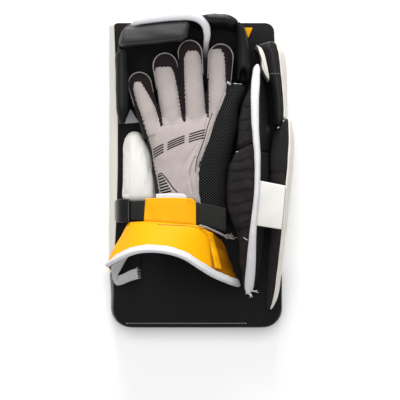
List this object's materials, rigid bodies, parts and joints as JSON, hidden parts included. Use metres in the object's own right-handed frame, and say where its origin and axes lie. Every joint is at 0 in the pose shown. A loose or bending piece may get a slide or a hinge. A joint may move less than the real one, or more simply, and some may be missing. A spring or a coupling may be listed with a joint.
{
  "type": "ice hockey goalkeeper blocker",
  "caption": "Right-hand goalkeeper blocker: a flat padded board with a glove on its back, finger guards, a padded thumb wall, an outer wing, a wrist strap and a flared cuff.",
  "frame": {"origin": "near the centre of the board's flat front face, which it rests on", "axes": "+Y along the board towards the fingertips, +Z from the front face towards the palm, +X towards the thumb side"},
  "size_m": [0.2148, 0.3616, 0.1162],
  "materials": {
    "white_leather": "smooth, satin, fine grain",
    "black_leather": "smooth, satin, fine grain",
    "nylon": "matt close weave",
    "yellow_leather": "smooth, satin, fine grain",
    "suede": "napped, matt",
    "glove_knit": "matt knit",
    "air_mesh": "open spacer mesh, matt",
    "webbing": "ribbed webbing, matt",
    "binding": "woven tape, slightly glossy",
    "elastic": "knitted elastic, matt"
  },
  "bodies": {
    "root": {"board": "white_leather", "thumb_wall_leaf": "white_leather", "outer_block_skin": "white_leather", "outer_wing_skin": "white_leather", "side_tongue": "white_leather", "finger_guard_gusset": "white_leather", "board_elbow_wrap": "black_leather", "finger_guard_wall": "black_leather", "finger_guard_top_roll": "black_leather", "finger_guard_side_roll": "black_leather", "index_guard_top": "black_leather", "index_guard_side": "black_leather", "thumb_wall_panel": "black_leather", "outer_block": "black_leather", "board_back_cover": "nylon", "thumb_pad_lower": "nylon", "thumb_pad_upper": "nylon", "outer_wing_lining": "nylon", "cuff_lining": "nylon", "board_inlay": "yellow_leather", "cuff_panel": "yellow_leather", "cuff_side_panel": "yellow_leather", "strap_sleeve": "yellow_leather", "glove_palm": "suede", "glove_back": "glove_knit", "glove_thumb_sleeve": "air_mesh", "wrist_strap": "webbing", "strap_keeper": "webbing", "finger_guard_tape": "binding", "thumb_wall_tape": "binding", "cuff_tape": "binding", "sleeve_lining": "binding", "elastic_band": "elastic"}
  },
  "joints": []
}
